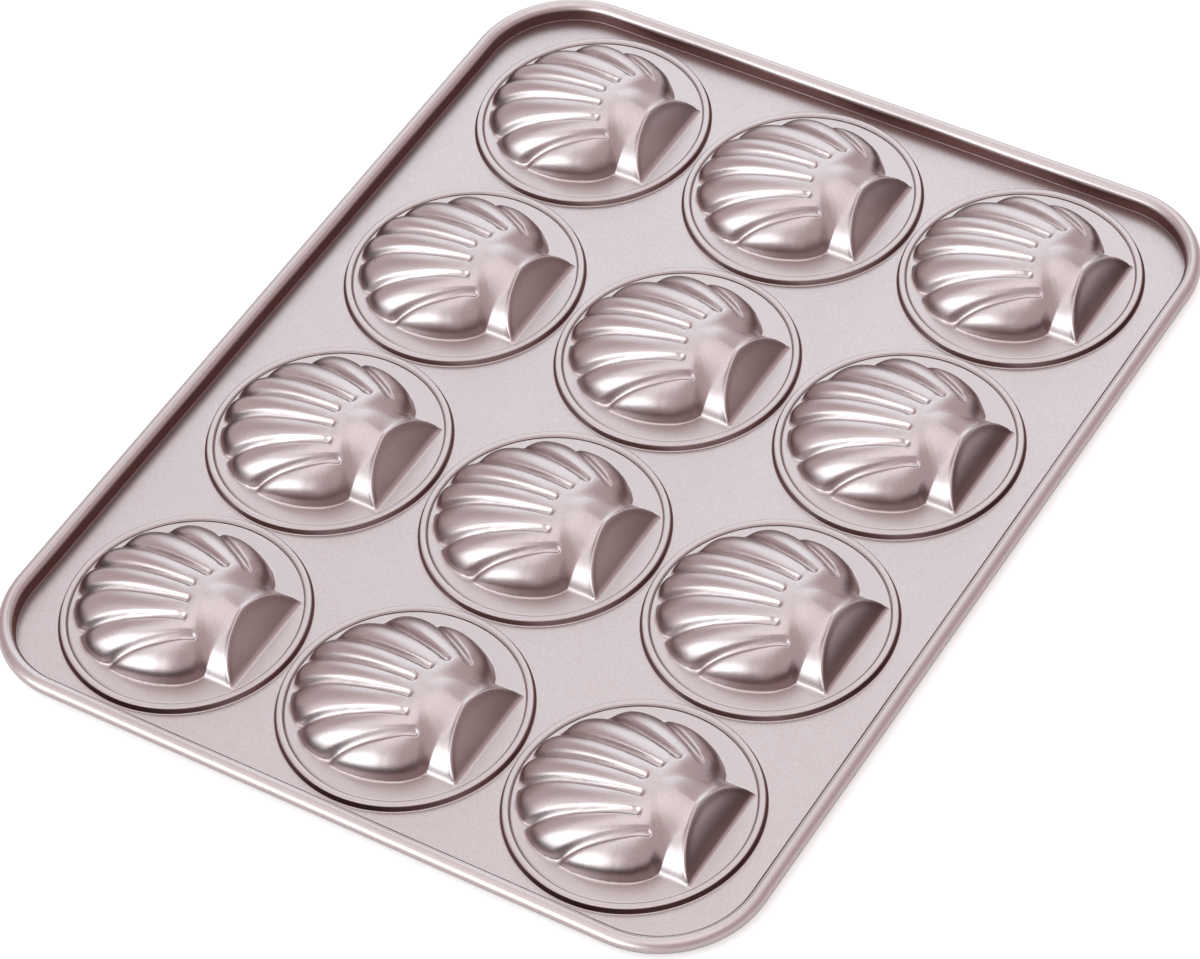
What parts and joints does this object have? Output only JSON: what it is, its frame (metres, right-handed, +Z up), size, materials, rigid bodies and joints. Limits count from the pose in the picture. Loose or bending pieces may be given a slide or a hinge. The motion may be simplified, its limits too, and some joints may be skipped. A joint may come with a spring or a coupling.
{
  "type": "madeleine pan",
  "caption": "Shallow rectangular baking pan with rows of fluted scallop-shell moulds on round plateaus and a rolled wired rim, lying turned over with its underside up.",
  "frame": {"origin": "middle of the pan, on the plane of the baking face, which lies on the table", "axes": "+Z up, out of the underside that the picture shows; +Y along the long side; +X along the short side, from the fans towards the flat hinge ends of the shells. Turned half a turn about Y, the pan is the way up it bakes."},
  "size_m": [0.266, 0.3362, 0.0183],
  "materials": {
    "coated_steel": "satin champagne non-stick coat with a fine sparkle, on both sides of the sheet",
    "steel_wire": "bare drawn steel wire, hidden in the rim"
  },
  "bodies": {
    "root": {"panel": "coated_steel", "rolled_rim": "coated_steel", "rim_wire": "steel_wire", "shell_mould_1": "coated_steel", "shell_mould_2": "coated_steel", "shell_mould_3": "coated_steel", "shell_mould_4": "coated_steel", "shell_mould_5": "coated_steel", "shell_mould_6": "coated_steel", "shell_mould_7": "coated_steel", "shell_mould_8": "coated_steel", "shell_mould_9": "coated_steel", "shell_mould_10": "coated_steel", "shell_mould_11": "coated_steel", "shell_mould_12": "coated_steel"}
  },
  "joints": []
}
